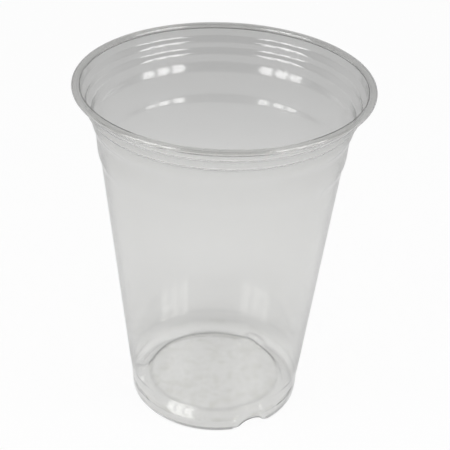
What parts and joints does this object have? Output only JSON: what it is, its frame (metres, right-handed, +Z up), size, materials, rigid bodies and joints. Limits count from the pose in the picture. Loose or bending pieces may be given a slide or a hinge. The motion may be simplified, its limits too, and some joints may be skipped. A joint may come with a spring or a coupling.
{
  "type": "plastic disposable cup",
  "caption": "Clear tapered cold-drink cup with a rolled rim, stepped ledges and stacking rings below it, and a raised base panel inside a notched foot ring.",
  "frame": {"origin": "centre of the foot, on the surface that the cup stands on", "axes": "+Z up along the cup's axis, from the foot to the rim; -Y towards the viewer of the picture"},
  "size_m": [0.098, 0.098, 0.12],
  "materials": {
    "clear_sheet": "clear, glossy thermoformed sheet"
  },
  "bodies": {
    "root": {"cup": "clear_sheet"}
  },
  "joints": []
}
